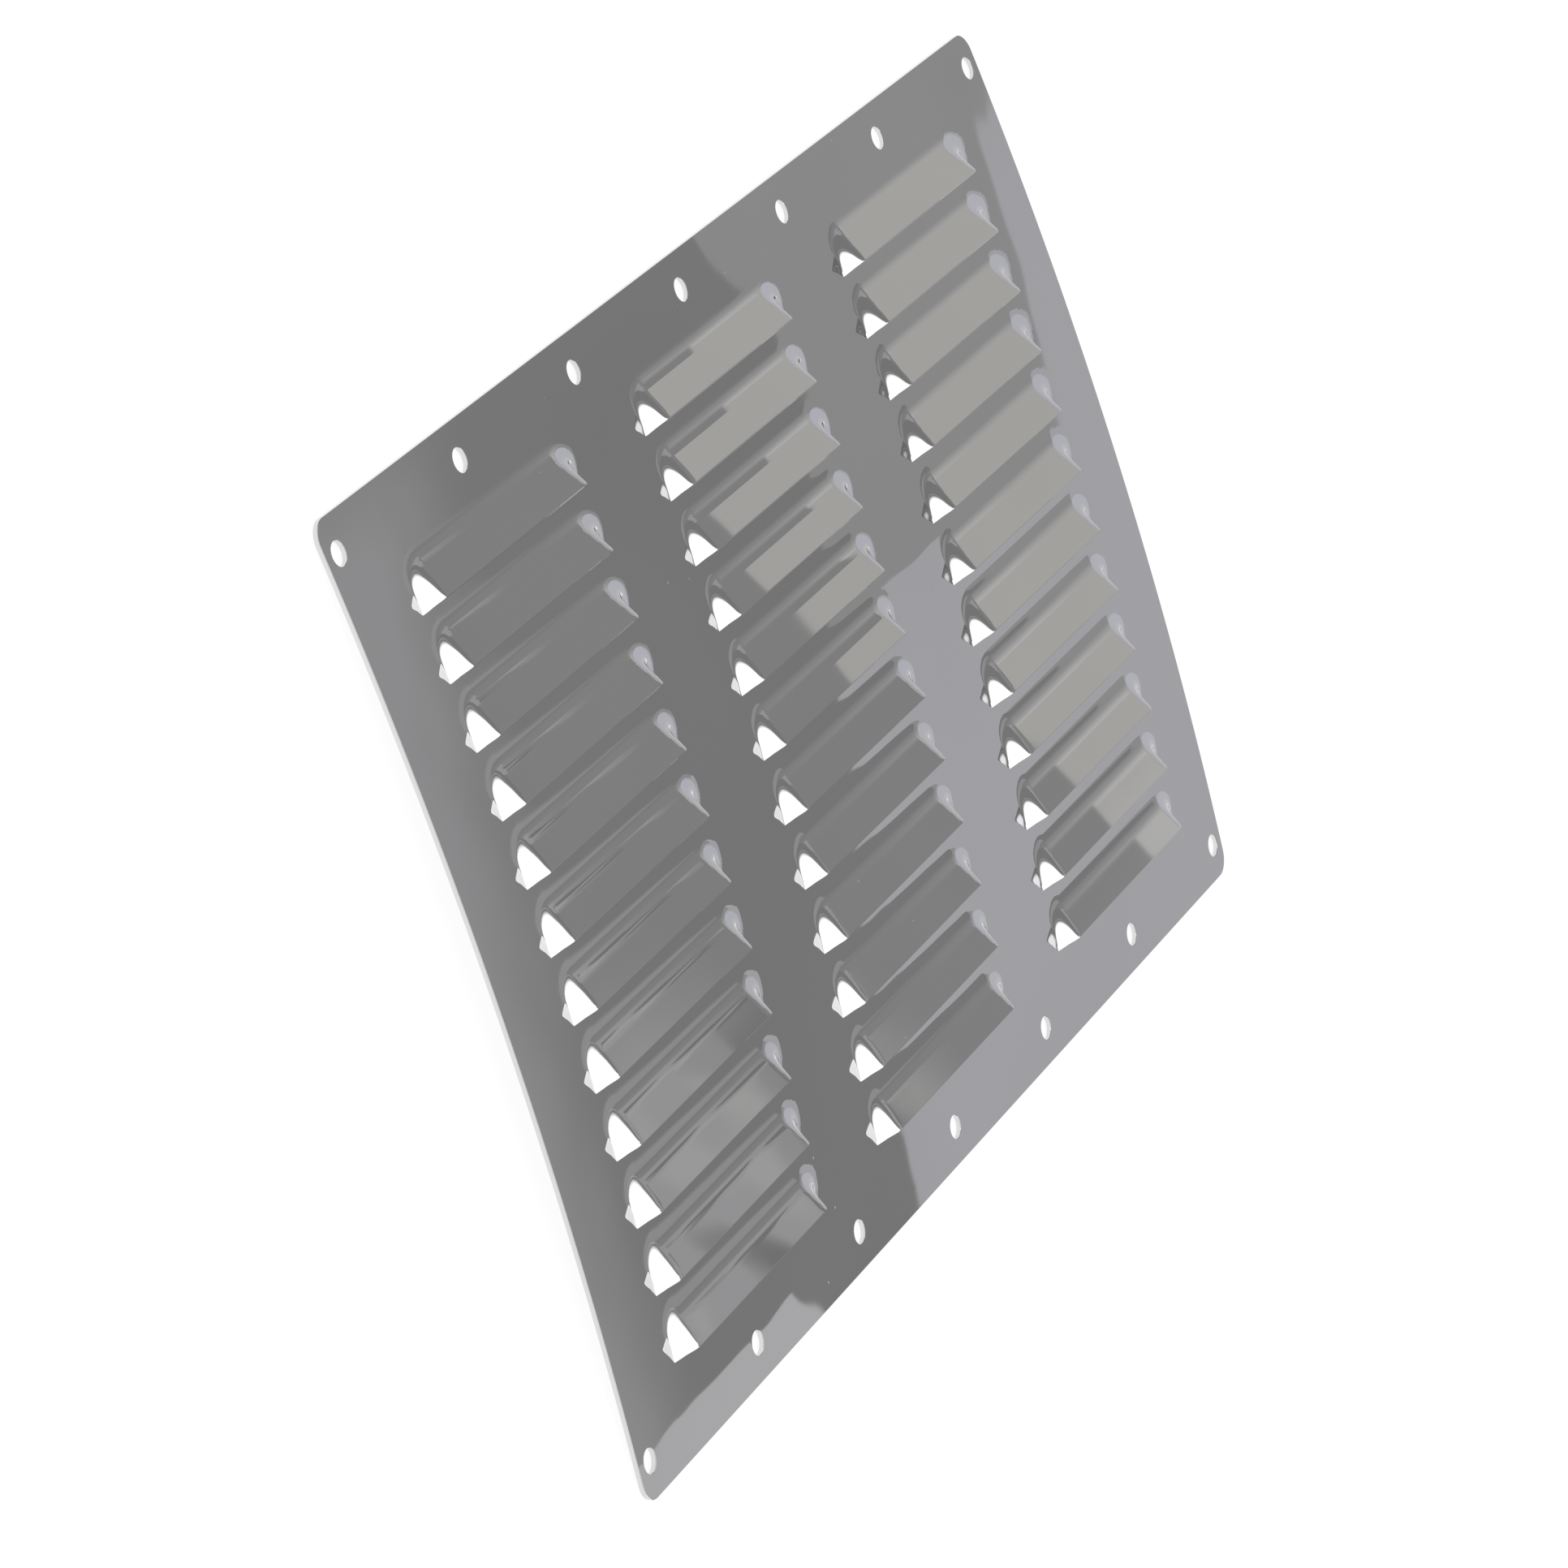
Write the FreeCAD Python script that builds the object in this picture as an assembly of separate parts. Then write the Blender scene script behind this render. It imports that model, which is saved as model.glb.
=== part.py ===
import FreeCAD, Part
import math
import os

# A louvred vent panel, pressed from one sheet of stainless steel. It lies on its two
# long edges with the louvres up. X runs along the louvres, Y runs up the panel, and
# every louvre opens towards -Y. All lengths are in millimetres.

V = FreeCAD.Vector

# The sheet
panel_width = 330.0
panel_height = 200.0
sheet = 1.0
corner_radius = 4.5
# Pressing the louvres leaves the sheet a little hollow on the side away from them.
bow_rise = 4.5

# The screw holes, one row along each long edge
hole_diameter = 5.0
holes_in_row = 7
hole_from_short_edge = 5.0
hole_from_long_edge = 7.5

# The field of louvres, and the plain metal round and between its columns
louvre_columns = 3
louvre_rows = 12
side_margin = 24.05
bridge = 31.9
end_margin = 16.0
field_rise = 1.0

# One louvre: a slit, and the hood raised behind it
gap_between_rows = 4.0
hood_height = 4.0
lip_setback = 1.3
# The lip ends this far in from each tip of the slit.
corner_in = 3.8
# The ridge between the ramp and an end turns in this far on its way down.
ridge_turn = 3.0
foot_radius = 6.0
# The foot of the hood dips just under the surface, so that it meets the bowed sheet.
foot_dip = 0.1
# The rounded ends are fans of flats, this many to a full turn.
outer_flat_count = 16
inner_flat_count = 8

# Worked out from the sizes above
bow_radius = panel_height ** 2 / (8 * bow_rise)
hole_row_span = panel_width - 2 * hole_from_short_edge
hole_row_gap = panel_height - 2 * hole_from_long_edge
hole_pitch = hole_row_span / (holes_in_row - 1)
field_width = panel_width - 2 * side_margin
slit_length = (field_width - (louvre_columns - 1) * bridge) / louvre_columns
column_pitch = slit_length + bridge
row_pitch = (panel_height - 2 * end_margin) / louvre_rows
hood_depth = row_pitch - gap_between_rows
ramp_slope = math.atan2(hood_height, hood_depth - lip_setback)
# Forms that cut or join reach this far past the surface that they meet.
overlap = 3 * sheet
past_hood = 3 * hood_depth
join_tolerance = 0.001


def bow_axis_height():
    """Height of the bow's axis, with the long edges of the underside on z = 0."""
    half_angle = panel_height / (2 * bow_radius)
    return -bow_radius * math.cos(half_angle)


def bowed_band(inner_radius, outer_radius):
    """A curved band as wide as the panel, the shape of the sheet before trimming."""
    half_angle = panel_height / (2 * bow_radius)
    axis = V(0, 0, bow_axis_height())
    corners = [
        V(-panel_width / 2, 0, axis.z + inner_radius),
        V(panel_width / 2, 0, axis.z + inner_radius),
        V(panel_width / 2, 0, axis.z + outer_radius),
        V(-panel_width / 2, 0, axis.z + outer_radius),
    ]
    profile = Part.Face(Part.makePolygon(corners + corners[:1]))
    profile.rotate(axis, V(1, 0, 0), -math.degrees(half_angle))
    return profile.revolve(axis, V(1, 0, 0), 2 * math.degrees(half_angle))


def rounded_corners():
    """An upright block with the plan of the panel and its four rounded corners."""
    depth = 2 * (bow_radius + sheet) * math.sin(panel_height / (2 * bow_radius))
    height = bow_rise + sheet + 2 * overlap
    block = Part.makeBox(panel_width, depth, height, V(-panel_width / 2, -depth / 2, -overlap))
    upright = [e for e in block.Edges if abs(e.Vertexes[0].Z - e.Vertexes[1].Z) > sheet]
    return block.makeFillet(corner_radius, upright)


def screw_holes():
    """The drills for both rows of screw holes, all square to the floor."""
    depth = bow_rise + sheet + 2 * overlap
    drills = []
    for side in (-1, 1):
        for index in range(holes_in_row):
            x = (index - (holes_in_row - 1) / 2) * hole_pitch
            foot = V(x, side * hole_row_gap / 2, -overlap)
            drills.append(Part.makeCylinder(hole_diameter / 2, depth, foot))
    return drills


def swept(corners, path):
    """A solid made by moving the outline through these corners along a straight path."""
    return Part.Face(Part.makePolygon(corners + corners[:1])).extrude(path)


# Each hood is drawn at the middle of the sheet, with its slit along y = 0 and the outside
# of the sheet on z = 0, and is copied to its places afterwards.


def outer_section():
    """Side view of the outside: leaning front, straight ramp and soft concave foot."""
    knee = V(0, hood_depth + foot_dip / math.tan(ramp_slope), -foot_dip)
    tangent = foot_radius * math.tan(ramp_slope / 2)
    ramp_end = knee + V(0, -math.cos(ramp_slope), math.sin(ramp_slope)) * tangent
    foot_end = knee + V(0, tangent, 0)
    half = ramp_slope / 2
    rise = foot_radius * (1 - math.cos(half))
    arc_middle = foot_end + V(0, -foot_radius * math.sin(half), rise)
    lip = V(0, lip_setback, hood_height)
    front = lip * (-overlap / hood_height)
    tail = V(0, foot_end.y + sheet, -foot_dip)
    outline = [
        Part.makeLine(front, lip),
        Part.makeLine(lip, ramp_end),
        Part.Arc(ramp_end, arc_middle, foot_end).toShape(),
        Part.makeLine(foot_end, tail),
        Part.makeLine(tail, V(0, tail.y, -overlap)),
        Part.makeLine(V(0, tail.y, -overlap), front),
    ]
    return Part.Face(Part.Wire(outline))


def inner_section():
    """Side view of the hollow: it starts at the slit, one sheet under the ramp."""
    drop = sheet / math.cos(ramp_slope)
    top = V(0, 0, hood_depth * math.tan(ramp_slope) - drop)
    foot = V(0, hood_depth - (drop - sheet) / math.tan(ramp_slope), -sheet)
    outline = [V(0, 0, -overlap), top, foot, V(0, foot.y, -overlap)]
    return Part.Face(Part.makePolygon(outline + outline[:1]))


def ridge():
    """Direction down the ridge where the ramp turns into the right end."""
    return V(-ridge_turn, hood_depth - lip_setback, -hood_height).normalize()


def end_cone(inset):
    """Top, axis and half angle of the cone that the right end follows.

    All lines of the end run down from the corner of the lip. The cone touches the ramp
    along the ridge and passes through the tip of the slit. An inset moves it inwards.
    """
    square_to_ramp = V(0, math.sin(ramp_slope), math.cos(ramp_slope))
    to_tip = V(corner_in, -lip_setback, -hood_height)
    past_ridge = to_tip.dot(ridge()) - to_tip.Length
    half_angle = math.atan(past_ridge / to_tip.dot(square_to_ramp))
    axis = ridge() * math.cos(half_angle) - square_to_ramp * math.sin(half_angle)
    lip_corner = V(slit_length / 2, 0, 0) - to_tip
    return lip_corner + axis * (inset / math.sin(half_angle)), axis, half_angle


def end_fan(inset, flat_count):
    """The right end of a hood: flats that fan out round the cone, the first at the ridge."""
    top, axis, half_angle = end_cone(inset)
    length = (2 * hood_height + overlap) / math.cos(half_angle)
    rim = []
    for flat in range(flat_count):
        turn = FreeCAD.Rotation(axis, 360 * flat / flat_count)
        rim.append(top + turn.multVec(ridge()) * length)
    sides = [
        Part.Face(Part.makePolygon([top, start, end, top]))
        for start, end in zip(rim, rim[1:] + rim[:1])
    ]
    base = Part.Face(Part.makePolygon(rim + rim[:1]))
    return Part.Solid(Part.Shell([*sides, base]))


def between_ridges(section, inset):
    """The straight middle of a hood, from one ridge to the other."""
    top = end_cone(inset)[0]
    far = top + ridge() * (past_hood / ridge().y)
    right = [V(top.x, -overlap, 0), V(top.x, top.y, 0), V(far.x, far.y, 0)]
    left = [V(-place.x, place.y, 0) for place in reversed(right)]
    plan = swept(right + left, V(0, 0, hood_height + 2 * overlap))
    plan.translate(V(0, 0, -overlap))
    section.translate(V(-slit_length, 0, 0))
    return section.extrude(V(2 * slit_length, 0, 0)).common(plan)


def behind_front(setback):
    """All that lies behind the front of a hood, which leans back by the setback."""
    low = -overlap
    high = hood_height + overlap
    lean = setback / hood_height
    corners = [
        V(0, lean * low, low),
        V(0, lean * high, high),
        V(0, past_hood, high),
        V(0, past_hood, low),
    ]
    return swept(corners, V(slit_length, 0, 0))


def hood_form(section, inset, setback, flat_count):
    """One whole hood as a solid: its middle and its two ends."""
    right = end_fan(inset, flat_count).common(behind_front(setback))
    left = right.mirror(V(0, 0, 0), V(1, 0, 0))
    return between_ridges(section, inset).fuse([right, left])


def outer_hood():
    """The outside of a hood, rooted half a sheet deep."""
    whole = hood_form(outer_section(), 0, lip_setback, outer_flat_count)
    corner = V(-slit_length, -past_hood, -sheet / 2)
    return whole.common(Part.makeBox(2 * slit_length, 2 * past_hood, 2 * hood_height, corner))


def inner_hood():
    """The hollow under a hood, which runs out through the slit."""
    return hood_form(inner_section(), sheet, 0, inner_flat_count)


def louvre_places():
    """Where each slit lies: along X, and along the bow from the middle of the sheet."""
    places = []
    for column in range(louvre_columns):
        x = (column - (louvre_columns - 1) / 2) * column_pitch
        for row in range(louvre_rows):
            middle = (row - (louvre_rows - 1) / 2) * row_pitch
            places.append((x, middle + field_rise - hood_depth / 2))
    return places


def spread(form):
    """Copies of one form at every louvre, each square to the bowed sheet there."""
    axis_height = bow_axis_height()
    copies = []
    for x, along in louvre_places():
        copy = form.copy()
        copy.translate(V(x, 0, axis_height + bow_radius + sheet))
        copy.rotate(V(0, 0, axis_height), V(1, 0, 0), -math.degrees(along / bow_radius))
        copies.append(copy)
    return copies


def louvred_panel():
    """The whole panel as one solid."""
    blank = bowed_band(bow_radius, bow_radius + sheet)
    blank = blank.common(rounded_corners())
    blank = blank.cut(screw_holes())
    raised = blank.fuse(spread(outer_hood()), join_tolerance)
    return raised.cut(spread(inner_hood()), join_tolerance)


def export(shape, name):
    """Write one solid to the parts folder."""
    os.makedirs("parts", exist_ok=True)
    solid = shape.Solids[0]
    solid.exportStep("parts/" + name + ".step")
    box = solid.BoundBox
    print(name, "solids", len(shape.Solids), "valid", solid.isValid())
    print("box", round(box.XLength, 3), round(box.YLength, 3), round(box.ZLength, 3))
    print("lowest", round(box.ZMin, 3), "volume", round(solid.Volume, 1))


export(louvred_panel(), "louvred_panel")
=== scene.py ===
# %% [markdown]
# A louvred vent panel in mirror-polished steel
#
# The real object is one thin sheet of stainless steel. A press has cut 36 slits in it
# and pushed the metal behind each slit up into a small hood, so that air gets through
# and rain doesn't. This file builds that sheet in Blender, gives it a mirror finish,
# and sets up the floor, the studio round it and the camera.

# %% The measured model that everything is built around
import math
import bmesh
import bpy
from mathutils import Matrix, Vector


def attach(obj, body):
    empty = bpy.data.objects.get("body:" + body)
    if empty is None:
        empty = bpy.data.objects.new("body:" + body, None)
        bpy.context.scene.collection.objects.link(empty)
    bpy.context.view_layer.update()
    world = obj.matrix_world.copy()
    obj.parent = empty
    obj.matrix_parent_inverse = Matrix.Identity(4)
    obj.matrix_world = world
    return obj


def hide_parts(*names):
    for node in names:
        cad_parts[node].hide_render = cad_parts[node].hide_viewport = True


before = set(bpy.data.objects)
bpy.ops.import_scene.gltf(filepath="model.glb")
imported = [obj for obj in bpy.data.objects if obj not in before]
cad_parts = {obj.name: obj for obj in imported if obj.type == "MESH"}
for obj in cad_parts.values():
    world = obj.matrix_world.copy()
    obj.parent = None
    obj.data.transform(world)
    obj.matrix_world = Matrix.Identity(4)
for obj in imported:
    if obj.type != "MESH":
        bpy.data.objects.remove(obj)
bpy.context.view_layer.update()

# %% [markdown]
# Sizes
#
# Every length is written once, in millimetres, and turned into metres here. The bow is
# the slight curve that pressing the louvres left in the sheet: its hollow side faces the
# floor, and its axis runs along the louvres.

# %% Sizes of the sheet, its holes and its louvres
mm = 0.001

panel_width = 330 * mm
panel_height = 200 * mm
sheet = 1.0 * mm
corner_radius = 4.5 * mm
bow_rise = 4.5 * mm
bow_radius = panel_height ** 2 / (8 * bow_rise)
half_angle = panel_height / (2 * bow_radius)
bow_axis_height = -bow_radius * math.cos(half_angle)

hole_diameter = 5.0 * mm
holes_in_row = 7
hole_row_span = 320 * mm
hole_row_gap = 185 * mm

louvre_columns = 3
louvre_rows = 12
column_pitch = 104.6 * mm
row_pitch = 14.0 * mm
field_rise = 1.0 * mm

slit_length = 72.7 * mm
hood_depth = 10.0 * mm
hood_height = 4.0 * mm
lip_setback = 1.3 * mm
corner_in = 3.8 * mm
ramp_slope = math.atan2(hood_height, hood_depth - lip_setback)
print("bow radius", round(bow_radius, 4), "ramp slope", round(math.degrees(ramp_slope), 1))

# %% [markdown]
# Where the mesh needs lines
#
# The sheet starts as one flat grid. A mirror shows every facet, so the grid's lines have
# to be close together where the metal curves, at the ends of the hoods, and can be far
# apart where it runs straight. One long grid with uneven lines keeps the flats between
# the louvres in one piece, which separate louvre tiles wouldn't.

# %% Lines of the grid, across the panel and up it
end_reach = 5.0 * mm


def spaced(start, *stretches):
    """Places along a line. Each stretch is where it ends and how many steps it takes."""
    places = [start]
    for end, steps in stretches:
        begin = places[-1]
        places += [begin + (end - begin) * (step + 1) / steps for step in range(steps)]
    return places


half_slit = slit_length / 2
lip_corner = half_slit - corner_in
round_in = 7.5 * mm
ramp_half = half_slit - round_in
# A line close beside each slit keeps its bright end from smearing over the flat.
beside = 0.3 * mm
bridge_steps = 2
flare_steps = 4
end_steps = 10
ridge_steps = 5
ramp_steps = 3


def cell_lines(middle):
    """Lines across one louvre, from the middle of one bridge to the middle of the next."""
    return [
        (middle - half_slit - end_reach, bridge_steps),
        (middle - half_slit - 2 * beside, flare_steps),
        (middle - half_slit, 2),
        (middle - lip_corner, end_steps),
        (middle - ramp_half, ridge_steps),
        (middle + ramp_half, ramp_steps),
        (middle + lip_corner, ridge_steps),
        (middle + half_slit, end_steps),
        (middle + half_slit + 2 * beside, 2),
        (middle + half_slit + end_reach, flare_steps),
        (middle + column_pitch / 2, bridge_steps),
    ]


corner_steps = 6
half_width = panel_width / 2
half_height = panel_height / 2
column_middles = [(n - (louvre_columns - 1) / 2) * column_pitch for n in range(louvre_columns)]
first_bridge = -louvre_columns * column_pitch / 2
across = [(corner_radius - half_width, corner_steps), (first_bridge, 2)]
for middle in column_middles:
    across += cell_lines(middle)
across += [(half_width - corner_radius, 2), (half_width, corner_steps)]
x_lines = spaced(-half_width, *across)

slit_places = [
    (n - (louvre_rows - 1) / 2) * row_pitch + field_rise - hood_depth / 2
    for n in range(louvre_rows)
]
hood_reach = 12.4 * mm
upward = [
    (corner_radius - half_height, corner_steps), (slit_places[0] - beside, 5), (slit_places[0], 1),
]
for slit in slit_places:
    upward += [
        (slit + 3.0 * mm, 5), (slit + 7.0 * mm, 6), (slit + hood_reach, 6),
        (slit + row_pitch - beside, 1), (slit + row_pitch, 1),
    ]
upward += [(half_height - corner_radius, 3), (half_height, corner_steps)]
y_lines = spaced(-half_height, *upward)
print("grid of", len(x_lines), "by", len(y_lines), "lines")

# %% [markdown]
# The flat blank
#
# A grid comes out with even spacing. Each of its points is then moved to the crossing of
# its own two lines, which keeps the operator's tidy faces and gives the uneven spacing.

# %% Make the blank
panel_mesh = bmesh.new()
x_count, y_count = len(x_lines) - 1, len(y_lines) - 1
bmesh.ops.create_grid(panel_mesh, x_segments=x_count, y_segments=y_count, size=1.0)
for vert in panel_mesh.verts:
    column = round((vert.co.x + 1) / 2 * x_count)
    row = round((vert.co.y + 1) / 2 * y_count)
    vert.co = Vector((x_lines[column], y_lines[row], 0))
print("blank has", len(panel_mesh.faces), "faces")

# %% [markdown]
# The slits
#
# A lancing punch parts the metal along a line without taking any away. Splitting a run
# of edges does the same: the faces on its two sides let go of each other, and the last
# point at each end still holds them together, as the real slit's tips do.

# %% Cut the slits
tiny = 0.001 * mm
kerf = 0.08 * mm


def slit_below(y):
    """The place of the last slit at or below y, or nothing where there is none."""
    below = [slit for slit in slit_places if slit <= y + tiny]
    return below[-1] if below else None


def nearest_middle(x):
    """The middle of the louvre column that x belongs to."""
    return min(column_middles, key=lambda middle: abs(middle - x))


def on_slit(vert):
    """Whether a point of the flat blank lies on a slit, tips included."""
    slit = slit_below(vert.co.y)
    if slit is None or vert.co.y - slit > tiny:
        return False
    return abs(vert.co.x - nearest_middle(vert.co.x)) < half_slit + tiny


slit_edges = [e for e in panel_mesh.edges if all(on_slit(v) for v in e.verts)]
bmesh.ops.split_edges(panel_mesh, edges=slit_edges)


def is_front_edge(vert):
    """Whether a point on a slit belongs to the flat metal in front of it."""
    if not on_slit(vert):
        return False
    return all(f.calc_center_median().y < vert.co.y for f in vert.link_faces)


front_verts = [v for v in panel_mesh.verts if is_front_edge(v)]
print("slit edges", len(slit_edges), "points in front of a slit", len(front_verts))

# %% [markdown]
# The hoods
#
# Behind its slit the metal is drawn up into a hood. The middle is a straight ramp that
# falls back to the sheet through a wide soft foot. At each end the lip drops straight
# from its corner to the slit's tip. Further back the drop gets lower and wider, as cloth
# does when it is lifted by an edge, so the end looks like a small dome beside the slit
# and fades out behind it. The lip leans back over the slit as it rises. The two ends of
# a pressed hood are never quite the same: here the right one is the wider.

# %% Shape of one hood
foot_line = 8.8 * mm
back_foot = 0.33
drop_middle = half_slit - corner_in / 2
left_shift, right_shift = -0.05, 0.06
left_spread, right_spread = 0.05 / mm, 0.11 / mm
# The line of the foot curves in towards the tips of the slit.
left_bend, right_bend = 0.05 / mm, 0.03 / mm
bend_start = drop_middle - 4.0 * mm
straight_drop = 2.0 * mm


def eased(value):
    """A smooth step from 0 to 1."""
    value = min(1.0, max(0.0, value))
    return value * value * (3 - 2 * value)


def soft_start(value, reach):
    """The value itself where it is high, and a soft start from 0 where it is low."""
    if value > reach:
        return value
    if value > -reach:
        return (value + reach) ** 2 / (4 * reach)
    return 0.0


def ramp_rise(x, y):
    """Height of the ramp, as a share of the lip's."""
    bend = right_bend if x > 0 else left_bend
    foot = foot_line - bend * max(0.0, abs(x) - bend_start) ** 2
    back = max(0.0, y - lip_setback)
    return soft_start(1 - back / max(foot - lip_setback, mm), back_foot)


def end_fall(x, y):
    """How much of the ramp's height is left near an end: 1 on the ramp, 0 outside."""
    shift, widening = (right_shift, right_spread) if x > 0 else (left_shift, left_spread)
    width = corner_in + widening * y * y
    share = min(1.0, max(0.0, (drop_middle + shift * y - abs(x)) / width + 0.5))
    return share + (eased(share) - share) * eased(y / straight_drop)


def hood_rise(x, y):
    """Height of a hood above the sheet, x from its middle and y back from its slit."""
    return hood_height * ramp_rise(x, y) * end_fall(x, y)


print("lip height in the middle, mm:", round(hood_rise(0, lip_setback) / mm, 2))

# %% Raise the hoods
lip_verts = []
front_set = set(front_verts)
for vert in panel_mesh.verts:
    slit = slit_below(vert.co.y)
    x = vert.co.x - nearest_middle(vert.co.x)
    if vert in front_set:
        vert.co.y -= kerf * eased((half_slit - abs(x)) / mm)
        continue
    if slit is None or vert.co.y - slit > hood_reach + tiny or abs(x) > half_slit + end_reach:
        continue
    back = vert.co.y - slit
    lip_back = lip_setback * min(1.0, max(0.0, (half_slit - abs(x)) / corner_in))
    moved = back + lip_back * (1 - back / hood_reach)
    if back < tiny and abs(x) < half_slit - tiny:
        lip_verts.append(vert)
    vert.co.y = slit + moved
    vert.co.z = hood_rise(x, moved)
print("lip points", len(lip_verts), "highest", round(max(v.co.z for v in lip_verts) / mm, 2))

# %% [markdown]
# The screw holes
#
# A round hole needs a ring of points, and the grid has none. Round each hole a small
# square is cut out along four planes, a circle takes its place, and the gap between the
# square and the circle is bridged. The same could be done with a boolean modifier, but
# bridging leaves cleaner faces, which a mirror needs.

# %% Punch the screw holes
hole_block = 3.0 * mm
hole_points = 40
hole_pitch = hole_row_span / (holes_in_row - 1)
middle_of_sheet = bow_radius + sheet / 2
hole_row = bow_radius * math.asin(hole_row_gap / 2 / middle_of_sheet)


def near(face, x, y, reach):
    """Whether the middle of a face is within reach of a place, in both directions."""
    centre = face.calc_center_median()
    return abs(centre.x - x) < reach and abs(centre.y - y) < reach


def cut_along(x, y, direction):
    """Cut the faces round a hole along the plane at one side of its square."""
    faces = [f for f in panel_mesh.faces if near(f, x, y, 4 * hole_block)]
    edges = {e for f in faces for e in f.edges}
    verts = {v for f in faces for v in f.verts}
    place = Vector((x, y, 0)) + direction * hole_block
    bmesh.ops.bisect_plane(
        panel_mesh, geom=[*faces, *edges, *verts], plane_co=place, plane_no=direction,
        dist=tiny,
    )


def on_rim(edge, x, y):
    """Whether an edge has a face outside the square round a hole."""
    return any(not near(face, x, y, hole_block) for face in edge.link_faces)


def punch(x, y):
    """One round hole, with a ring of faces round it."""
    for direction in ((1, 0, 0), (-1, 0, 0), (0, 1, 0), (0, -1, 0)):
        cut_along(x, y, Vector(direction))
    block = [f for f in panel_mesh.faces if near(f, x, y, hole_block)]
    rim = {e for f in block for e in f.edges if on_rim(e, x, y)}
    bmesh.ops.delete(panel_mesh, geom=block, context="FACES")
    circle = bmesh.ops.create_circle(
        panel_mesh, segments=hole_points, radius=hole_diameter / 2,
        matrix=Matrix.Translation((x, y, 0)),
    )
    ring = {e for v in circle["verts"] for e in v.link_edges}
    bmesh.ops.bridge_loops(panel_mesh, edges=[*rim, *ring])


for side in (-1, 1):
    for index in range(holes_in_row):
        punch((index - (holes_in_row - 1) / 2) * hole_pitch, side * hole_row)
print("faces after punching", len(panel_mesh.faces))

# %% [markdown]
# The rounded corners
#
# The last few lines at each corner form a small square patch. Pressing that square into
# a quarter disc rounds the corner and leaves the two inner sides of the patch where they
# are, so nothing has to be cut.

# %% Round the corners
for vert in panel_mesh.verts:
    u = (abs(vert.co.x) - half_width) / corner_radius + 1
    v = (abs(vert.co.y) - half_height) / corner_radius + 1
    if u > 0 and v > 0:
        out_x = half_width - corner_radius + corner_radius * u * math.sqrt(1 - v * v / 2)
        out_y = half_height - corner_radius + corner_radius * v * math.sqrt(1 - u * u / 2)
        vert.co.x = math.copysign(out_x, vert.co.x)
        vert.co.y = math.copysign(out_y, vert.co.y)

# %% [markdown]
# Thickness and edges
#
# So far the mesh is the skin of the louvred side. Solidify gives it the thickness of the
# sheet, measured square to the skin, so the hoods have an even wall. Sheared steel never
# has a razor edge: a narrow bevel on the lips, the outline and the holes catches a thin
# line of light, as the real edges do.

# %% Give the skin its thickness
bmesh.ops.recalc_face_normals(panel_mesh, faces=panel_mesh.faces[:])
if sum(f.normal.z * f.calc_area() for f in panel_mesh.faces) < 0:
    bmesh.ops.reverse_faces(panel_mesh, faces=panel_mesh.faces[:])
bmesh.ops.solidify(panel_mesh, geom=panel_mesh.faces[:], thickness=sheet)
heights = [v.co.z / mm for v in panel_mesh.verts]
print("from", round(min(heights), 2), "to", round(max(heights), 2), "mm before the bow")
print("open edges", sum(1 for e in panel_mesh.edges if not e.is_manifold))
print("volume in cubic centimetres", round(panel_mesh.calc_volume(signed=True) * 1e6, 2))

# %% Soften the lips, the outline and the holes
edge_softness = 0.14 * mm
sharp_angle = math.radians(50)
tip_clearance = 1.4 * mm


def is_soft_edge(edge):
    """Whether an edge of the louvred side gets a bevel: not one close to a slit's tip."""
    if not edge.is_manifold or edge.calc_face_angle(0) < sharp_angle:
        return False
    for vert in edge.verts:
        along = abs(vert.co.x - nearest_middle(vert.co.x))
        slit = slit_below(vert.co.y + 2 * kerf)
        in_field = slit is not None and vert.co.y < slit_places[-1] + row_pitch
        if in_field and abs(along - half_slit) < tip_clearance and vert.co.y - slit < mm:
            return False
        if in_field and along < half_slit and vert.co.z < tiny:
            return False
    return True


soft_edges = [e for e in panel_mesh.edges if is_soft_edge(e)]
bmesh.ops.bevel(
    panel_mesh, geom=soft_edges, offset=edge_softness, offset_type="OFFSET", segments=2,
    profile=0.5, affect="EDGES", clamp_overlap=True, material=-1,
)
print("softened", len(soft_edges), "edges, now", len(panel_mesh.faces), "faces")

# %% [markdown]
# The bow
#
# The flat panel is now rolled onto its bow. Each point keeps its distance along the sheet
# and its height above it, and only changes direction.

# %% Roll the panel onto its bow
for vert in panel_mesh.verts:
    angle = vert.co.y / bow_radius
    reach = bow_radius + sheet + vert.co.z
    vert.co.y = reach * math.sin(angle)
    vert.co.z = bow_axis_height + reach * math.cos(angle)

smooth_limit = math.radians(21)
for face in panel_mesh.faces:
    face.smooth = True
for edge in panel_mesh.edges:
    edge.smooth = edge.calc_face_angle(0) < smooth_limit

panel_data = bpy.data.meshes.new("louvred_panel_skin")
panel_mesh.to_mesh(panel_data)
panel_mesh.free()
panel = bpy.data.objects.new("polished_panel", panel_data)
bpy.context.scene.collection.objects.link(panel)
triangles = sum(len(polygon.vertices) - 2 for polygon in panel_data.polygons)
print("panel triangles", triangles)

# %% [markdown]
# Mirror-polished steel
#
# Polished stainless steel has no colour of its own to speak of: it is a slightly grey
# mirror. What makes it look real is what disturbs the mirror: faint waves left by the
# press, hairlines from polishing cloths, and a few specks of dust that blur a spot.

# %% Helpers for node trees


def add_node(tree, kind, **settings):
    """A node of a kind, with its settings and the values of its inputs."""
    node = tree.nodes.new(kind)
    for name, value in settings.items():
        if name in node.inputs:
            node.inputs[name].default_value = value
        else:
            setattr(node, name, value)
    return node


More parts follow.
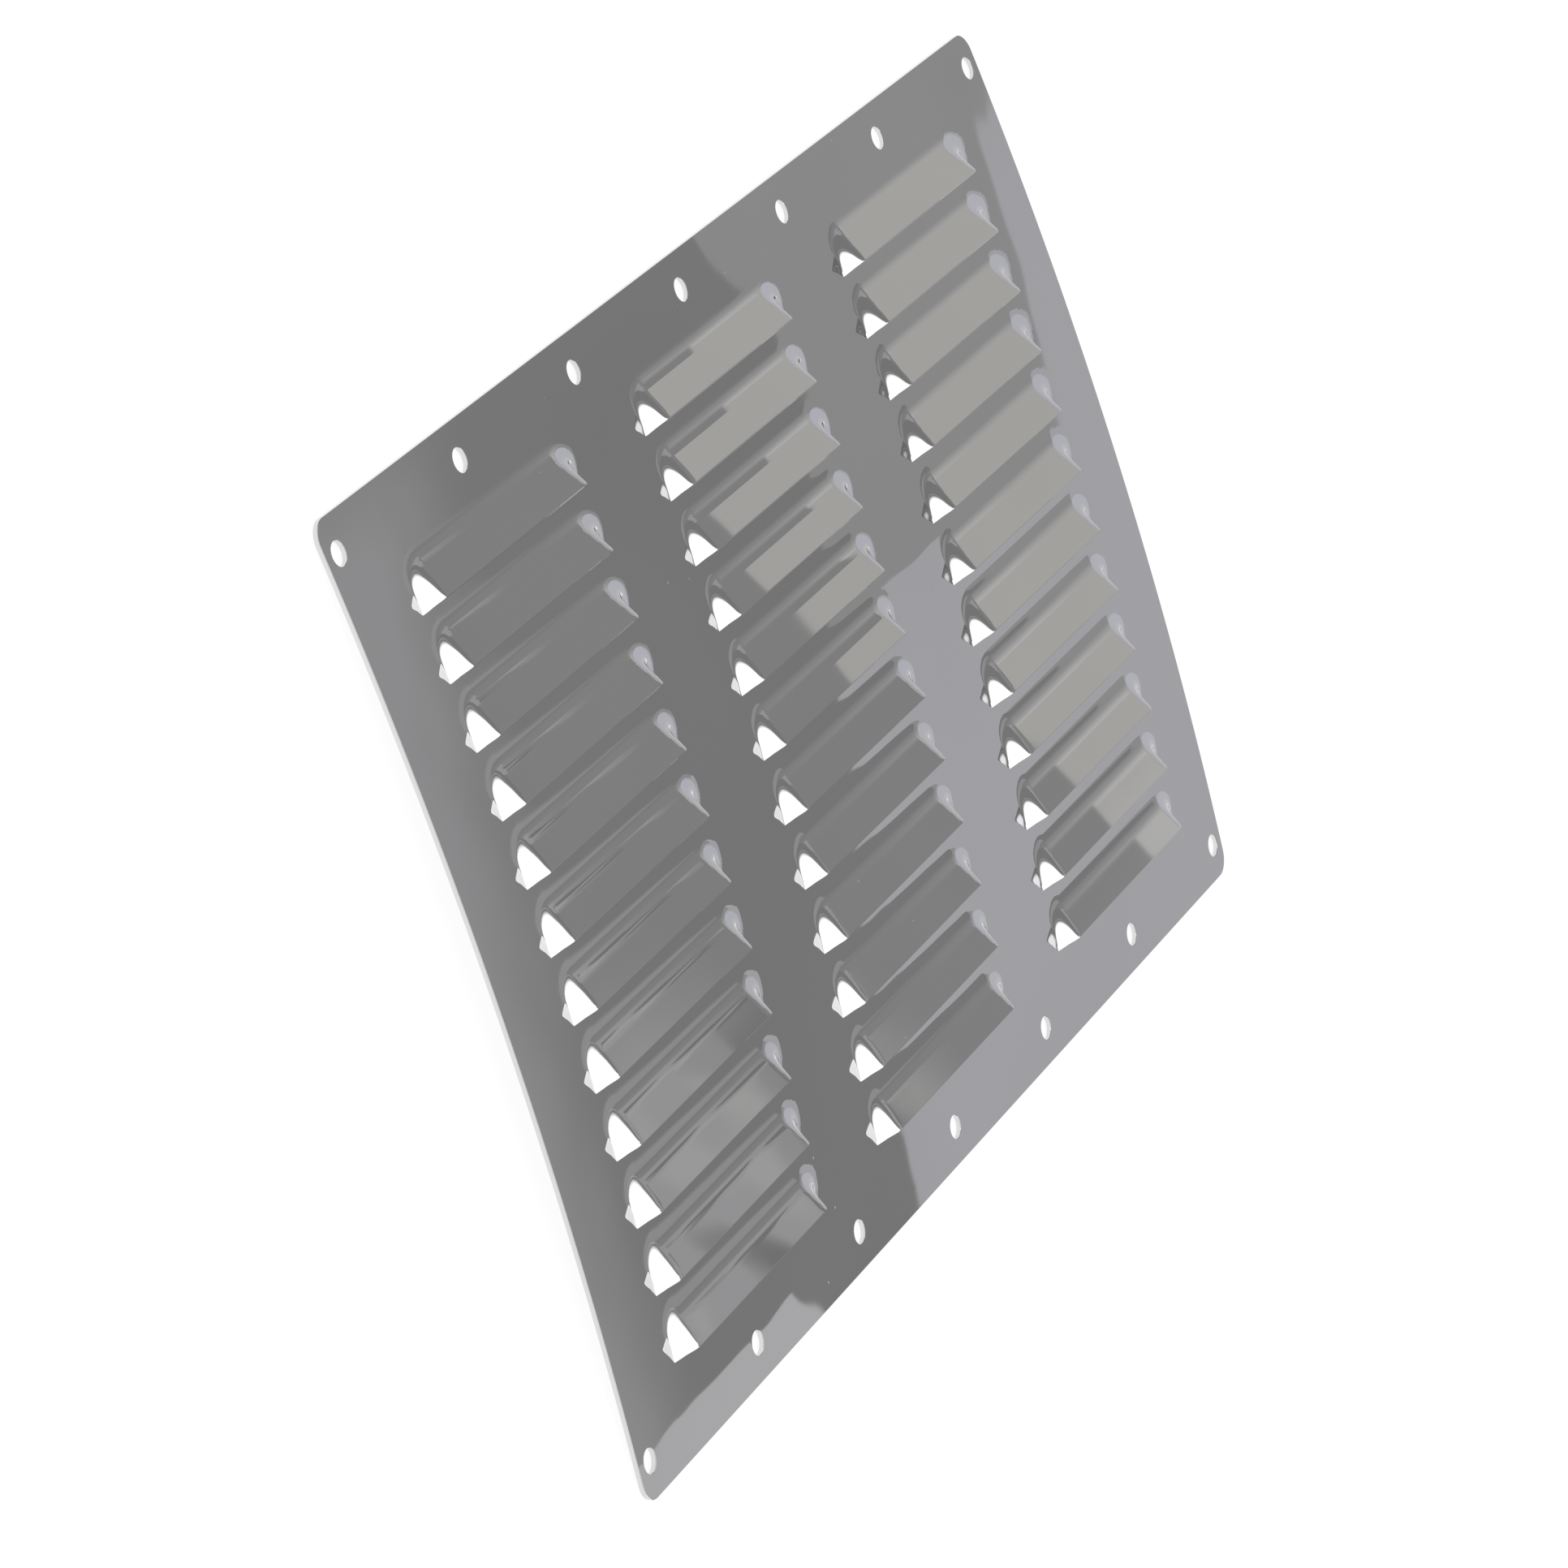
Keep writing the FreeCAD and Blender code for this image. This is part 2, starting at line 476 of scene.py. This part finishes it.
def connect(tree, value, socket):
    """Give a socket a value, or link it to another node's output."""
    if isinstance(value, bpy.types.NodeSocket):
        tree.links.new(value, socket)
    else:
        socket.default_value = value


def calculate(tree, operation, *values):
    """The result of a sum on numbers or on other nodes' outputs."""
    node = add_node(tree, "ShaderNodeMath", operation=operation)
    for value, socket in zip(values, node.inputs):
        connect(tree, value, socket)
    return node.outputs["Value"]


# %% The steel
press_wave_scale = 28.0
press_wave_depth = 0.04 * mm
hairline_depth = 0.0002 * mm
polish_roughness = (0.008, 0.016)
speck_roughness = 0.35


def make_steel():
    """Mirror-polished stainless steel with press waves, hairlines and dust."""
    steel = bpy.data.materials.new("polished_steel")
    steel.use_nodes = True
    tree = steel.node_tree
    link = tree.links.new
    shader = tree.nodes["Principled BSDF"]
    shader.inputs["Metallic"].default_value = 1.0
    place = add_node(tree, "ShaderNodeTexCoord")

    tint = add_node(tree, "ShaderNodeTexNoise", Scale=9.0, Detail=3.0)
    link(place.outputs["Object"], tint.inputs["Vector"])
    tint_ramp = add_node(tree, "ShaderNodeValToRGB")
    tint_ramp.color_ramp.elements[0].position = 0.35
    tint_ramp.color_ramp.elements[0].color = (0.70, 0.70, 0.705, 1)
    tint_ramp.color_ramp.elements[1].position = 0.65
    tint_ramp.color_ramp.elements[1].color = (0.735, 0.735, 0.74, 1)
    link(tint.outputs["Fac"], tint_ramp.inputs["Fac"])
    link(tint_ramp.outputs["Color"], shader.inputs["Base Color"])

    haze = add_node(tree, "ShaderNodeTexNoise", Scale=60.0, Detail=4.0)
    link(place.outputs["Object"], haze.inputs["Vector"])
    roughness = add_node(tree, "ShaderNodeMapRange")
    roughness.inputs["To Min"].default_value = polish_roughness[0]
    roughness.inputs["To Max"].default_value = polish_roughness[1]
    link(haze.outputs["Fac"], roughness.inputs["Value"])

    # Specks of dust: where a fine cell noise peaks, the mirror is blurred.
    dust = add_node(tree, "ShaderNodeTexVoronoi", Scale=110.0, Randomness=1.0)
    link(place.outputs["Object"], dust.inputs["Vector"])
    speck = add_node(tree, "ShaderNodeMapRange")
    speck.inputs["From Min"].default_value = 0.035
    speck.inputs["From Max"].default_value = 0.02
    link(dust.outputs["Distance"], speck.inputs["Value"])
    speck_blur = calculate(tree, "MULTIPLY", speck.outputs["Result"], speck_roughness)
    blurred = calculate(tree, "ADD", roughness.outputs["Result"], speck_blur)
    link(blurred, shader.inputs["Roughness"])

    # The waves of the press, long and shallow, and the hairlines of polishing over them
    waves = add_node(tree, "ShaderNodeTexNoise", Scale=press_wave_scale, Detail=1.0)
    link(place.outputs["Object"], waves.inputs["Vector"])
    press = add_node(tree, "ShaderNodeBump", Strength=1.0, Distance=press_wave_depth)
    link(waves.outputs["Fac"], press.inputs["Height"])
    stretch = add_node(tree, "ShaderNodeMapping", Scale=(40.0, 900.0, 40.0), Rotation=(0, 0, 0.6))
    link(place.outputs["Object"], stretch.inputs["Vector"])
    hairs = add_node(tree, "ShaderNodeTexNoise", Scale=1.0, Detail=2.0)
    link(stretch.outputs["Vector"], hairs.inputs["Vector"])
    polish = add_node(tree, "ShaderNodeBump", Strength=1.0, Distance=hairline_depth)
    link(hairs.outputs["Fac"], polish.inputs["Height"])
    link(press.outputs["Normal"], polish.inputs["Normal"])
    link(polish.outputs["Normal"], shader.inputs["Normal"])
    return steel


steel = make_steel()
panel_data.materials.append(steel)

# %% Put the panel in the place of the measured one
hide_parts("louvred_panel")
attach(panel, "root")

# %% [markdown]
# The floor
#
# The panel lies on a plain white floor that runs on without an edge. White paper under
# soft light is never quite white in a picture, so what the camera sees of it is partly
# its own light, which leaves only a pale shadow, and the rest is paper that takes the
# shadow as usual.

# %% The floor
paper_glow = 0.87
paper_glow_light = 1.05


def make_paper():
    """White paper: plain to the lamps, and lighter where the camera or the steel sees it."""
    paper = bpy.data.materials.new("white_paper")
    paper.use_nodes = True
    tree = paper.node_tree
    link = tree.links.new
    surface = tree.nodes["Principled BSDF"]
    surface.inputs["Base Color"].default_value = (0.88, 0.88, 0.88, 1)
    surface.inputs["Roughness"].default_value = 0.8
    glow = add_node(tree, "ShaderNodeEmission", Strength=paper_glow_light)
    ray = add_node(tree, "ShaderNodeLightPath").outputs
    seen = calculate(tree, "MAXIMUM", ray["Is Camera Ray"], ray["Is Glossy Ray"])
    mix = add_node(tree, "ShaderNodeMixShader")
    link(calculate(tree, "MULTIPLY", seen, paper_glow), mix.inputs["Fac"])
    link(surface.outputs["BSDF"], mix.inputs[1])
    link(glow.outputs["Emission"], mix.inputs[2])
    link(mix.outputs["Shader"], tree.nodes["Material Output"].inputs["Surface"])
    return paper


bpy.ops.mesh.primitive_plane_add(size=12.0, location=(0, 0, 0))
floor = bpy.context.object
floor.name = "studio_floor"
floor.data.materials.append(make_paper())

# %% [markdown]
# The studio that the steel mirrors
#
# A mirror shows the room and nothing else, so the room has to be designed. Real cards
# round the panel would stand in the way of other views, so the world's background takes
# their place: for the camera it is white, for soft light it is one even grey, and for
# reflections it is a set of grey cards with crisp edges. A direction is given by two
# angles: how far it is from the +X axis, and how far it is rolled round that axis from
# straight up. The flats of the panel mirror one stretch of roll, the ramps another.

# %% Angles of a direction in the world
steel_grey = 0.72
world = bpy.data.worlds.new("studio")
bpy.context.scene.world = world
world.use_nodes = True
studio = world.node_tree
heading = add_node(studio, "ShaderNodeTexCoord")
split = add_node(studio, "ShaderNodeSeparateXYZ")
studio.links.new(heading.outputs["Generated"], split.inputs["Vector"])
spread_angle = calculate(studio, "DEGREES", calculate(studio, "ARCCOSINE", split.outputs["X"]))
roll_angle = calculate(
    studio, "DEGREES", calculate(studio, "ARCTAN2", split.outputs["Y"], split.outputs["Z"])
)


def above(value, start, width):
    """A mask that rises from 0 to 1 as a value passes start, over a width in degrees."""
    node = add_node(studio, "ShaderNodeMapRange", interpolation_type="SMOOTHSTEP")
    connect(studio, value, node.inputs["Value"])
    node.inputs["From Min"].default_value = start - width / 2
    node.inputs["From Max"].default_value = start + width / 2
    return node.outputs["Result"]


def below(value, end, width):
    """A mask that falls from 1 to 0 as a value passes end, over a width in degrees."""
    return calculate(studio, "SUBTRACT", 1.0, above(value, end, width))


def both(first, second):
    """A mask that is 1 where two masks are."""
    return calculate(studio, "MULTIPLY", first, second)


def between(value, low, high, width):
    """A mask that is 1 from low to high."""
    return both(above(value, low, width), below(value, high, width))


def leaning(start_roll, slope):
    """The spread, plus a slope for every degree of roll past a start."""
    past_start = calculate(studio, "SUBTRACT", roll_angle, start_roll)
    return calculate(studio, "ADD", spread_angle, calculate(studio, "MULTIPLY", past_start, slope))


def card(red, green, blue):
    """Light of a card that shows in the steel as this screen colour, from 0 to 255."""
    return [((c / 255 + 0.055) / 1.055) ** 2.4 / steel_grey for c in (red, green, blue)] + [1]


def overlay(mask, under, over):
    """One colour over another, where a mask is 1."""
    node = add_node(studio, "ShaderNodeMix", data_type="RGBA")
    connect(studio, mask, node.inputs["Factor"])
    connect(studio, under, node.inputs["A"])
    connect(studio, over, node.inputs["B"])
    return node.outputs["Result"]


# %% [markdown]
# How the cards are laid out
#
# The picture is read from right to left as the spread grows, from about 24 degrees to 38,
# and from its lower rows to its upper ones as the roll grows. The flats mirror rolls
# below 0 and the ramps rolls above it, with the feet of the hoods in between. Every
# number below is an angle in degrees: where a card's side is, and over what width it
# blends into the next one.

# %% The light cards on the right
crisp = 0.04
foot_blend = 26.0
flats_or_ramps = 0.0
near_flats = below(roll_angle, flats_or_ramps, foot_blend)
near_ramps = above(roll_angle, flats_or_ramps, foot_blend)

# A cool card for the flats and a warm one for the ramps
light_card = overlay(near_ramps, card(157, 157, 160), card(161, 160, 157))

# A lighter part of it, which the ramps of the lower rows mirror
low_ramps_from, low_ramps_to, low_ramps_side = 5.0, 16.5, 29.0
low_rolls = between(roll_angle, low_ramps_from, low_ramps_to, 4.0)
low_ramps = both(low_rolls, above(spread_angle, low_ramps_side, 0.8))
light_card = overlay(low_ramps, light_card, card(173, 172, 171))

# A darker part of it, which the flats of the upper rows mirror: its foot is level and its
# side leans
window_foot, window_side = -26.0, 27.05
window = both(
    above(roll_angle, window_foot, crisp), above(leaning(-14.0, 0.09), window_side, crisp)
)
low_cards = overlay(both(window, near_flats), light_card, card(135, 135, 135))

# %% The dark card in the middle
# Its side leans away for the lower flats, and steps away for the ramps and for the ramps
# of the highest rows.
dark_side = 29.3
soft_side = 4.0
lean_start, lean_slope = -18.0, 0.14
ramp_step, top_step = 0.6, 0.65
below_start = calculate(studio, "SUBTRACT", lean_start, roll_angle)
lean_low = calculate(studio, "MULTIPLY", below_start, lean_slope)
lean_ramps = calculate(studio, "MULTIPLY", above(roll_angle, -4.0, 12.0), ramp_step)
lean_top = calculate(studio, "MULTIPLY", above(roll_angle, 27.8, 1.0), top_step)
lean_high = calculate(studio, "ADD", lean_ramps, lean_top)
lean = calculate(studio, "ADD", calculate(studio, "MAXIMUM", lean_low, 0.0), lean_high)
card_angle = calculate(studio, "SUBTRACT", spread_angle, lean)
dark_card = overlay(above(roll_angle, -8.0, 14.0), card(116, 116, 116), card(125, 125, 125))

# Its side is crisp for the flats and the ramps, and soft for the feet between them.
feet = both(above(roll_angle, -8.0, 8.0), below(roll_angle, 12.0, 10.0))
edge_mask = add_node(studio, "ShaderNodeMix", data_type="FLOAT")
connect(studio, feet, edge_mask.inputs["Factor"])
connect(studio, above(card_angle, dark_side, crisp), edge_mask.inputs["A"])
connect(studio, above(card_angle, dark_side, soft_side), edge_mask.inputs["B"])
cards = overlay(edge_mask.outputs["Result"], low_cards, dark_card)

# %% The lighter cards on the left
# The flats of the left margin and the ramps of the left column mirror them, but not the
# feet between these two.
margin_side, left_ramps_side = 32.6, 33.1
left_card = overlay(above(roll_angle, -6.0, 18.0), card(138, 138, 139), card(146, 146, 147))
on_margin = both(
    above(leaning(-17.0, 0.11), margin_side, 1.0), below(roll_angle, -11.0, 6.0)
)
on_ramps = both(above(spread_angle, left_ramps_side, 1.2), between(roll_angle, 4.0, 25.0, 6.0))
cards = overlay(calculate(studio, "MAXIMUM", on_margin, on_ramps), cards, left_card)

# Those ramps also mirror a cluttered corner of the room: a noise over the two angles
# gives dark spots where it is low and light spots where it is high.
dark_level, light_level = 0.44, 0.58
angles = add_node(studio, "ShaderNodeCombineXYZ")
connect(studio, calculate(studio, "MULTIPLY", spread_angle, 1.1), angles.inputs["X"])
connect(studio, calculate(studio, "MULTIPLY", roll_angle, 0.1), angles.inputs["Y"])
clutter = add_node(studio, "ShaderNodeTexNoise", Scale=1.0, Detail=1.0, Distortion=0.6)
connect(studio, angles.outputs["Vector"], clutter.inputs["Vector"])
clutter_zone = both(between(roll_angle, 11.0, 22.0, 3.0), between(spread_angle, 32.4, 36.0, 1.0))
dark_spots = below(clutter.outputs["Fac"], dark_level, 0.05)
cards = overlay(both(dark_spots, clutter_zone), cards, card(112, 112, 112))
light_spots = above(clutter.outputs["Fac"], light_level, 0.12)
cards = overlay(both(light_spots, clutter_zone), cards, card(162, 161, 159))

# A light card for the lowest left corner of the panel
corner_top, corner_side = -43.0, 34.0
low_left = both(below(roll_angle, corner_top, crisp), above(spread_angle, corner_side, crisp))
cards = overlay(low_left, cards, card(165, 165, 166))

# %% The rest of the room
# Past the left column it is dark, and sooner so past the rolls of the ramps.
dark_from = 42.0
sooner = 5.0
past_ramps = above(roll_angle, 25.0, 5.0)
past_left = calculate(
    studio, "ADD", spread_angle, calculate(studio, "MULTIPLY", past_ramps, sooner)
)
cards = overlay(above(past_left, dark_from, 1.6), cards, card(116, 116, 116))
# On the camera's side of the panel it is a middle grey.
behind_camera = 110.0
cards = overlay(above(spread_angle, behind_camera, 40.0), cards, card(150, 150, 151))
# The light band along the right edge and the leaf-shaped patches at the hoods' right ends
# mirror the sweep near the horizon.
sweep_side = 26.2
cards = overlay(above(spread_angle, sweep_side, crisp), card(171, 171, 178), cards)
# All round, the sweep turns up from the floor in a light band.
sweep_top = 11.0
height_angle = calculate(studio, "DEGREES", calculate(studio, "ARCSINE", split.outputs["Z"]))
cards = overlay(above(height_angle, sweep_top, 8.0), card(178, 178, 180), cards)

# %% One background for each kind of ray
soft_light = 0.95
kind = add_node(studio, "ShaderNodeLightPath")
shown = overlay(kind.outputs["Is Glossy Ray"], [soft_light] * 3 + [1], cards)
shown = overlay(kind.outputs["Is Camera Ray"], shown, [1, 1, 1, 1])
connect(studio, shown, studio.nodes["Background"].inputs["Color"])
studio.nodes["Background"].inputs["Strength"].default_value = 1.0

# %% [markdown]
# The soft box
#
# The bright ends of the hoods mirror a soft box that hangs close over the panel. It is
# near enough to shift from one column to the next, which a background can't do, so it
# is a real sheet in the scene. Only mirrored light sees it: to the camera, the floor and
# the shadows it isn't there. Past its edge it fades out, and beside it a thin strip glows.

# %% Hang the soft box
box_height = 310 * mm
box_turn = math.radians(20)
box_edge = 78 * mm
box_fade = 75 * mm
strip_middle = 172 * mm
strip_half = 12 * mm
strip_share = 0.16
box_light = 1.45
box_size = (900 * mm, 1600 * mm)
box_middle = (-160 * mm, -400 * mm)


def band(tree, value, start, end):
    """A mask that runs smoothly from 0 at start to 1 at end, whichever is larger."""
    node = add_node(tree, "ShaderNodeMapRange", interpolation_type="SMOOTHSTEP")
    low, high = min(start, end), max(start, end)
    node.inputs["From Min"].default_value = low
    node.inputs["From Max"].default_value = high
    node.inputs["To Min"].default_value = 0.0 if start < end else 1.0
    node.inputs["To Max"].default_value = 1.0 if start < end else 0.0
    connect(tree, value, node.inputs["Value"])
    return node.outputs["Result"]


def make_soft_box():
    """Even white light with a faded edge, and a faint strip beside it."""
    glow = bpy.data.materials.new("soft_box_light")
    glow.use_nodes = True
    tree = glow.node_tree
    tree.nodes.remove(tree.nodes["Principled BSDF"])
    place = add_node(tree, "ShaderNodeTexCoord")
    axes = add_node(tree, "ShaderNodeSeparateXYZ")
    tree.links.new(place.outputs["Object"], axes.inputs["Vector"])
    along_x = calculate(tree, "MULTIPLY", axes.outputs["X"], math.cos(box_turn))
    along_y = calculate(tree, "MULTIPLY", axes.outputs["Y"], math.sin(box_turn))
    out = calculate(tree, "ADD", along_x, along_y)
    cover = band(tree, out, box_edge + box_fade, box_edge)
    from_strip = calculate(tree, "ABSOLUTE", calculate(tree, "SUBTRACT", out, strip_middle))
    strip = calculate(tree, "MULTIPLY", band(tree, from_strip, strip_half, 0.0), strip_share)
    light = add_node(tree, "ShaderNodeEmission", Strength=box_light)
    clear = add_node(tree, "ShaderNodeBsdfTransparent")
    mix = add_node(tree, "ShaderNodeMixShader")
    tree.links.new(calculate(tree, "ADD", cover, strip), mix.inputs["Fac"])
    tree.links.new(clear.outputs["BSDF"], mix.inputs[1])
    tree.links.new(light.outputs["Emission"], mix.inputs[2])
    tree.links.new(mix.outputs["Shader"], tree.nodes["Material Output"].inputs["Surface"])
    return glow


bpy.ops.mesh.primitive_plane_add(size=1.0, location=(0, 0, 0))
soft_box = bpy.context.object
soft_box.name = "soft_box"
soft_box.data.transform(Matrix.Diagonal((*box_size, 1.0, 1.0)))
soft_box.data.transform(Matrix.Translation((*box_middle, box_height)))
soft_box.data.materials.append(make_soft_box())
soft_box.visible_camera = False
soft_box.visible_diffuse = False
soft_box.visible_transmission = False
soft_box.visible_shadow = False

# %% [markdown]
# The camera
#
# The photograph was taken with a long lens from the left, with the panel standing on its
# corner. Here the panel lies flat, so the camera looks down on it and is rolled, which
# gives the same picture.

# %% The camera
camera_data = bpy.data.cameras.new("camera")
camera_data.sensor_width = 36.0
camera_data.lens = 177.0
camera_azimuth = math.radians(253.70)
camera_elevation = math.radians(27.25)
camera_roll = math.radians(79.37)
camera_distance = 1544.7 * mm
camera_aim = Vector((-30.5 * mm, -4.2 * mm, 5.0 * mm))
back = Vector((
    math.sin(camera_azimuth) * math.cos(camera_elevation),
    -math.cos(camera_azimuth) * math.cos(camera_elevation),
    math.sin(camera_elevation),
))
camera = bpy.data.objects.new("camera", camera_data)
bpy.context.scene.collection.objects.link(camera)
camera.rotation_mode = "QUATERNION"
level = (-back).to_track_quat("-Z", "Y").to_matrix()
camera.rotation_quaternion = (level @ Matrix.Rotation(camera_roll, 3, "Z")).to_quaternion()
camera.location = camera_aim + back * camera_distance
bpy.context.scene.camera = camera
bpy.context.scene.view_settings.view_transform = "Standard"
